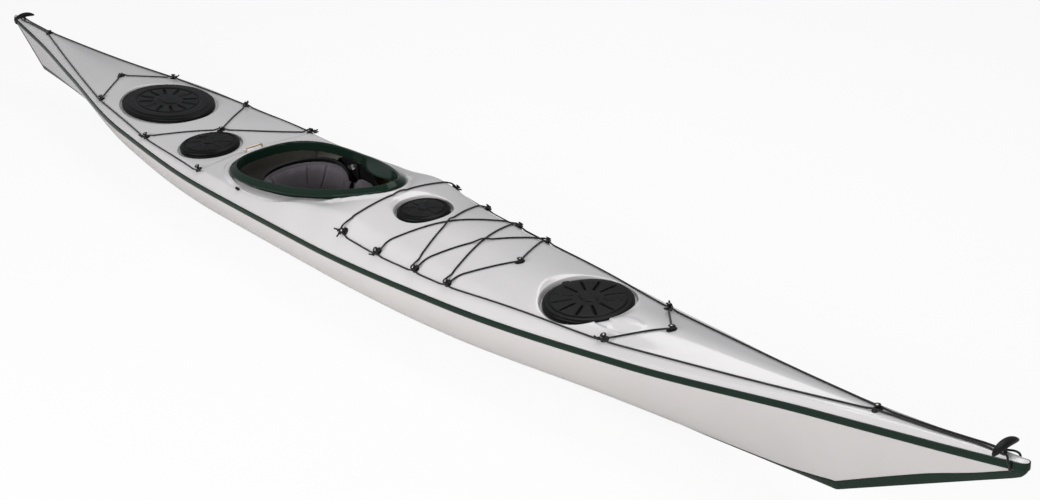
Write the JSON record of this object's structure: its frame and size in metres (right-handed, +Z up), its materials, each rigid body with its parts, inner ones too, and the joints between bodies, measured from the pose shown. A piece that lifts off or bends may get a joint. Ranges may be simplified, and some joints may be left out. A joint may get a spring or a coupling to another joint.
{
  "type": "sea kayak",
  "caption": "Composite sea kayak with a keyhole cockpit, padded seat and backrest, sealed hatches, bulkheads, footbraces, retractable skeg, deck lines, elastics and end toggles.",
  "frame": {"origin": "middle of the boat's length and breadth, on the level underside of the keel strip", "axes": "+X towards the bow, +Y to port, +Z up"},
  "size_m": [5.4724, 0.5496, 0.4352],
  "materials": {
    "hull_gelcoat": "polished warm off-white gelcoat",
    "deck_gelcoat": "polished pearl grey-white gelcoat",
    "green_gelcoat": "polished dark green gelcoat",
    "laminate": "bare woven laminate, tan, satin",
    "black_plastic": "satin moulded black",
    "fitting_plastic": "satin moulded black",
    "hatch_rubber": "soft matt black",
    "toggle_rubber": "soft matt black",
    "seat_foam": "fabric-faced foam, dark grey-purple",
    "black_cord": "braided black cord",
    "aluminium": "satin anodised",
    "steel": "satin stainless"
  },
  "bodies": {
    "boat": {"hull_shell": "hull_gelcoat", "deck_shell": "deck_gelcoat", "seam_band": "green_gelcoat", "keel_strip": "green_gelcoat", "cockpit_coaming": "green_gelcoat", "bulkhead_fore": "laminate", "bulkhead_cockpit": "laminate", "bulkhead_day": "laminate", "pod_cup": "black_plastic", "seat_pan": "black_plastic", "seat_pad": "seat_foam", "footbrace_rail_port": "aluminium", "footbrace_rail_starboard": "aluminium", "hatch_rim_fore": "black_plastic", "hatch_rim_aft": "black_plastic", "hatch_rim_day": "black_plastic", "skeg_box": "black_plastic", "skeg_slider_track": "black_plastic", "security_bar": "steel", "fore_deck_line": "black_cord", "aft_deck_line": "black_cord", "elastic_fore_straight": "black_cord", "elastic_fore_zigzag": "black_cord", "elastic_bow": "black_cord", "elastic_stern": "black_cord", "elastic_aft": "black_cord", "deck_fitting_port_1": "fitting_plastic", "deck_fitting_port_2": "fitting_plastic", "deck_fitting_port_3": "fitting_plastic", "deck_fitting_port_4": "fitting_plastic", "deck_fitting_port_5": "fitting_plastic", "deck_fitting_port_6": "fitting_plastic", "deck_fitting_port_7": "fitting_plastic", "deck_fitting_port_8": "fitting_plastic", "deck_fitting_starboard_1": "fitting_plastic", "deck_fitting_starboard_2": "fitting_plastic", "deck_fitting_starboard_3": "fitting_plastic", "deck_fitting_starboard_4": "fitting_plastic", "deck_fitting_starboard_5": "fitting_plastic", "deck_fitting_starboard_6": "fitting_plastic", "deck_fitting_starboard_7": "fitting_plastic", "deck_fitting_starboard_8": "fitting_plastic", "centre_fitting_1": "fitting_plastic", "centre_fitting_2": "fitting_plastic", "centre_fitting_3": "fitting_plastic", "centre_fitting_4": "fitting_plastic", "centre_fitting_5": "fitting_plastic", "centre_fitting_6": "fitting_plastic"},
    "fore_hatch_lid": {"hatch_lid_fore": "hatch_rubber"},
    "aft_hatch_lid": {"hatch_lid_aft": "hatch_rubber"},
    "day_hatch_lid": {"hatch_lid_day": "hatch_rubber"},
    "pod_hatch_lid": {"hatch_lid_pod": "hatch_rubber"},
    "backrest": {"backrest_shell": "black_plastic", "backrest_pad": "seat_foam"},
    "foot_peg_left": {"foot_peg_port": "black_plastic"},
    "foot_peg_right": {"foot_peg_starboard": "black_plastic"},
    "skeg": {"skeg_blade": "black_plastic"},
    "skeg_slider": {"skeg_slider_knob": "black_plastic"},
    "bow_toggle": {"toggle_bow": "toggle_rubber"},
    "stern_toggle": {"toggle_stern": "toggle_rubber"}
  },
  "joints": [
    {"name": "fore_lid_lift", "type": "slide", "parent": "boat", "child": "fore_hatch_lid", "axis": [0, 0, 1], "range_m": [0, 0.15]},
    {"name": "aft_lid_lift", "type": "slide", "parent": "boat", "child": "aft_hatch_lid", "axis": [0, 0, 1], "range_m": [0, 0.15]},
    {"name": "day_lid_lift", "type": "slide", "parent": "boat", "child": "day_hatch_lid", "axis": [0, 0, 1], "range_m": [0, 0.15]},
    {"name": "pod_lid_lift", "type": "slide", "parent": "boat", "child": "pod_hatch_lid", "axis": [0, 0, 1], "range_m": [0, 0.15]},
    {"name": "backrest_tilt", "type": "hinge", "parent": "boat", "child": "backrest", "pos_m": [-0.3, 0, 0.095], "axis": [0, 1, 0], "range_deg": [0, 13.5]},
    {"name": "foot_peg_left_slide", "type": "slide", "parent": "boat", "child": "foot_peg_left", "axis": [0.9979, -0.0652, 0], "range_m": [-0.14, 0.14]},
    {"name": "foot_peg_right_slide", "type": "slide", "parent": "boat", "child": "foot_peg_right", "axis": [0.9979, 0.0652, 0], "range_m": [-0.14, 0.14]},
    {"name": "skeg_swing", "type": "hinge", "parent": "boat", "child": "skeg", "pos_m": [-1.69, 0, 0.07101], "axis": [0, -1, 0], "range_deg": [0, 50]},
    {"name": "skeg_slider_slide", "type": "slide", "parent": "boat", "child": "skeg_slider", "axis": [0.9986, 0, 0.0527], "range_m": [0, 0.1]},
    {"name": "bow_toggle_swivel", "type": "hinge", "parent": "boat", "child": "bow_toggle", "pos_m": [2.674, 0, 0.42019], "axis": [0, 0, 1], "range_deg": [-80, 80]},
    {"name": "stern_toggle_swivel", "type": "hinge", "parent": "boat", "child": "stern_toggle", "pos_m": [-2.622, 0, 0.33245], "axis": [0, 0, 1], "range_deg": [-80, 80]}
  ],
  "couplings": [
    {"joint": "skeg_slider_slide", "follows": "skeg_swing", "m_per_rad": 0.114}
  ]
}
